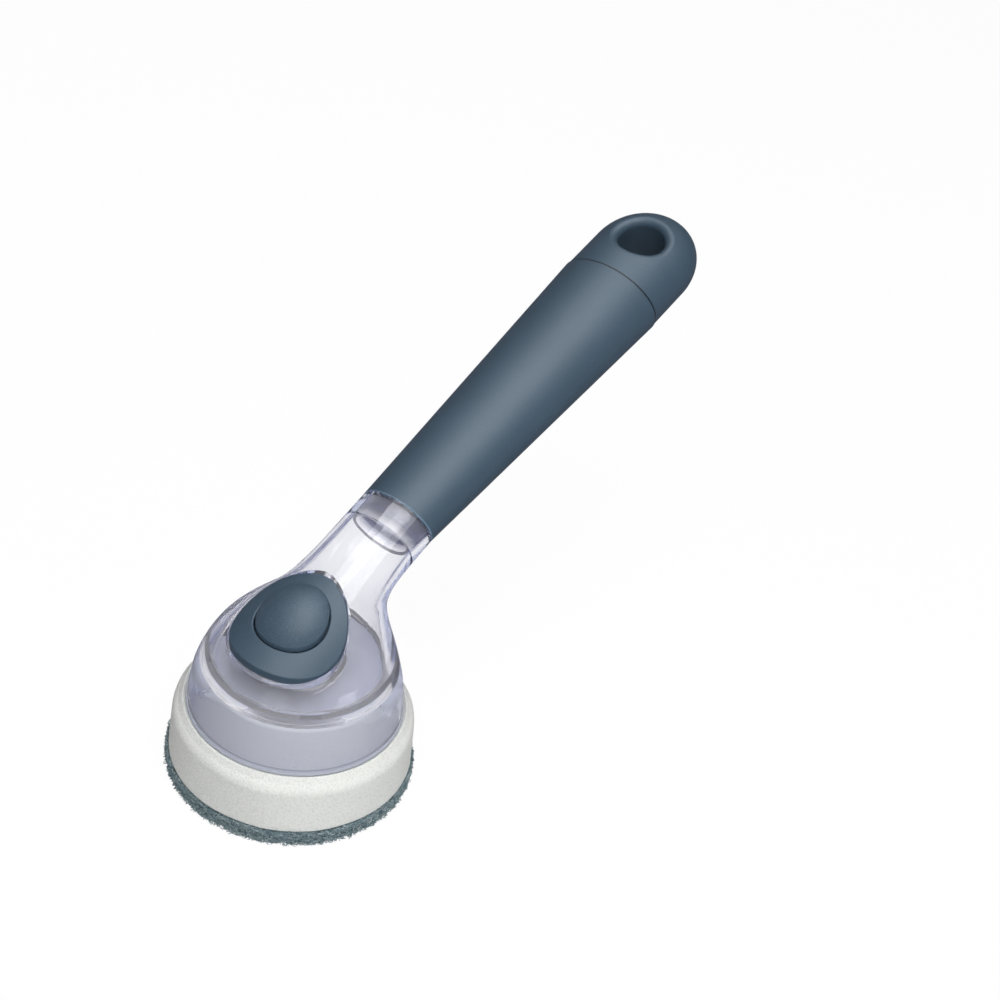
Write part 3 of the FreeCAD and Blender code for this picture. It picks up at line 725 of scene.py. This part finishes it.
def make_pad():
    """The scouring pad. Each start below draws its random numbers in a fixed order."""
    rng = random.Random(PAD_SEED)
    low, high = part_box("scouring_pad")
    radius = high.x
    thick = high.z - low.z
    shape = pad_core(low, high)

    def rim_start():
        angle = rng.uniform(0, FULL_TURN)
        reach = radius - rng.uniform(*RIM_INSET) * MM
        start = around(angle, reach, low.z + rng.uniform(RIM_LOWEST, thick))
        tangent = Vector((-math.sin(angle), math.cos(angle), rng.gauss(0, RIM_SLOPE)))
        either_way = tangent * rng.choice((-1, 1))
        outward = Vector((math.cos(angle), math.sin(angle), 0))
        return start, either_way + outward * rng.gauss(0, RIM_STRAY)

    def over_start():
        angle = rng.uniform(0, FULL_TURN)
        reach = radius - rng.uniform(*OVER_INSET) * MM
        start = around(angle, reach, high.z + rng.triangular(*OVER_HEIGHTS) * MM)
        tangent = Vector((-math.sin(angle), math.cos(angle), rng.gauss(0, OVER_SLOPE)))
        return start, tangent * rng.choice((-1, 1))

    def under_start():
        angle = rng.uniform(0, FULL_TURN)
        reach = radius * math.sqrt(rng.uniform(*UNDER_REACH))
        start = around(angle, reach, low.z + rng.uniform(*UNDER_HEIGHTS) * MM)
        turn = rng.uniform(0, FULL_TURN)
        return start, (math.cos(turn), math.sin(turn), rng.gauss(0, UNDER_SLOPE))

    # Nearest and farthest from the axis, lowest and highest
    outermost = radius + STRAND_OUTSIDE
    rim_limits = (radius - RIM_INSIDE, outermost, low.z + RIM_FOOT, high.z + RIM_ABOVE)
    over_limits = (radius - OVER_INSIDE, outermost, high.z - OVER_BELOW, high.z + OVER_ABOVE)
    under_limits = (0.0, radius - UNDER_INSIDE, low.z + UNDER_FOOT, low.z + UNDER_HEAD)
    scatter(shape, rng, RIM_STRANDS, rim_start, rim_limits)
    scatter(shape, rng, OVER_STRANDS, over_start, over_limits)
    scatter(shape, rng, UNDER_STRANDS, under_start, under_limits)
    verts, faces, tones = shape
    piece = mesh_object("scouring_fibres", verts, faces, fibre_material("scourer", FIBRE_TONES))
    strand = piece.data.attributes.new("strand", "FLOAT", "POINT")
    strand.data.foreach_set("value", tones)
    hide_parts("scouring_pad")
    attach(piece, "refill")


# Return spring


def make_spring():
    """The return spring again, as a piece with its own mesh, riding on the wand."""
    piece = bpy.data.objects.new("return_coil", nodes["return_spring"].data.copy())
    scene.collection.objects.link(piece)
    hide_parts("return_spring")
    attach(piece, "wand")
    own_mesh(piece)


make_foam()
make_pad()
make_spring()


# Stage: a white floor, white surroundings and soft studio light

FLOOR_HALF = 3.0
FLOOR_HEIGHT = -0.4 * MM
FLOOR_TONE = (0.55, 0.55, 0.55)
FLOOR_GLOW = 1.055
GLOW_SHARE = 0.91
SHEET_GLOW = 1.04
SHEET_MIDDLE = (0.14, 0.05, 0.0)
FAR = (0.13, 0.15, 0.31)
PALE = (0.90, 0.91, 0.95)
SHEET_RINGS = ((0.09, WHITE), (0.16, FAR), (0.24, FAR), (0.33, PALE), (0.48, PALE), (0.56, FAR))
MIRROR_TONE = (0.66, 0.67, 0.82)
MIRROR_GLOW = 0.32
WALL_TONE = (0.84, 0.86, 0.88)
WALL_GLOW = 1.15
INSIDE_WALL = 0.5


def add_floor():
    """A white floor that keeps its shadow.

    Rays bent by the clear plastic see rings on it, which draw the darker lines at the plastic's limbs.
    Mirror rays see it dim, or pale where they have turned inside a wall."""
    tree = new_material("floor")
    path = tree.add("ShaderNodeLightPath").outputs
    shadowed = tree.shader("ShaderNodeBsdfDiffuse", {"Color": FLOOR_TONE})
    white = tree.shader("ShaderNodeEmission", {"Color": WHITE, "Strength": FLOOR_GLOW})
    reach = tree.measure("DISTANCE", tree.place(), SHEET_MIDDLE)
    rings = tree.ramp(reach, SHEET_RINGS)
    sheet = tree.shader("ShaderNodeEmission", {"Color": rings, "Strength": SHEET_GLOW})
    lit = tree.mix(path["Is Camera Ray"], sheet, white)
    seen = tree.compute("MAXIMUM", path["Is Camera Ray"], path["Is Transmission Ray"])
    plain = tree.mix(tree.compute("MULTIPLY", seen, GLOW_SHARE), shadowed, lit)
    dim = tree.shader("ShaderNodeEmission", {"Color": MIRROR_TONE, "Strength": MIRROR_GLOW})
    wall = tree.shader("ShaderNodeEmission", {"Color": WALL_TONE, "Strength": WALL_GLOW})
    walled = tree.compute("GREATER_THAN", path["Transmission Depth"], INSIDE_WALL)
    mirrored = tree.compute("SUBTRACT", path["Is Glossy Ray"], path["Is Transmission Ray"], use_clamp=True)
    whole = tree.mix(mirrored, plain, tree.mix(walled, dim, wall))
    signs = ((-1, -1), (1, -1), (1, 1), (-1, 1))
    corners = [(FLOOR_HALF * x, FLOOR_HALF * y, 0) for x, y in signs]
    floor = mesh_object("floor", corners, [(0, 1, 2, 3)], tree.finish(whole))
    floor.location.z = FLOOR_HEIGHT
    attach(floor, "refill")


SOFT_STOPS = ((0.0, (0.34, 0.34, 0.46)), (0.55, (0.80, 0.81, 0.84)))
SOFT_GLOW = 0.11
AROUND_STOPS = ((0.0, (0.40, 0.42, 0.58)), (0.24, (0.60, 0.62, 0.74)), (0.5, WHITE))
AROUND_GLOW = 0.95
LEAN = (-0.22, 0.38, 1.0)


def add_world():
    """White for the camera, bright with bluish low parts through clear plastic, and soft for the rest."""
    scene.world = bpy.data.worlds.new("studio")
    tree = Tree(scene.world)
    way = tree.add("ShaderNodeTexCoord").outputs["Generated"]
    height = tree.add("ShaderNodeSeparateXYZ", {0: way}).outputs["Z"]
    lean = tree.measure("DOT_PRODUCT", way, LEAN)
    path = tree.add("ShaderNodeLightPath").outputs

    def background(colour, strength):
        return tree.shader("ShaderNodeBackground", {"Color": colour, "Strength": strength})

    soft = background(tree.ramp(height, SOFT_STOPS), SOFT_GLOW)
    bright = background(tree.ramp(lean, AROUND_STOPS), AROUND_GLOW)
    seen = tree.mix(path["Is Transmission Ray"], soft, bright)
    whole = tree.mix(path["Is Camera Ray"], seen, background(WHITE, 1.0))
    tree.add("ShaderNodeOutputWorld", {"Surface": whole})


def add_light(name, place, aim, size, power, glint=True, wash=True):
    """A round lamp; glint and wash say whether shiny and matt surfaces take its light."""
    data = bpy.data.lights.new(name, "AREA")
    data.shape = "DISK"
    data.size = size
    data.energy = power
    lamp = bpy.data.objects.new(name, data)
    lamp.visible_glossy = glint
    lamp.visible_diffuse = wash
    scene.collection.objects.link(lamp)
    lamp.location = place
    lamp.rotation_euler = (Vector(aim) - Vector(place)).to_track_quat("-Z", "Y").to_euler()


HEAD = (0.0, 0.0, 0.03)

add_camera()
add_floor()
add_world()
add_light("key", (-0.20, -0.26, 1.00), aim=(0.05, 0.0, 0.05), size=0.9, power=8.6)
add_light("sheen", (0.28, 0.06, 1.00), aim=(0.10, 0.0, 0.06), size=0.85, power=8.2, wash=False)
add_light("fill", (0.02, -1.00, 0.09), aim=HEAD, size=0.5, power=3.0, glint=False)
add_light("front", (-0.84, -0.14, 0.42), aim=HEAD, size=0.5, power=1.8, glint=False)
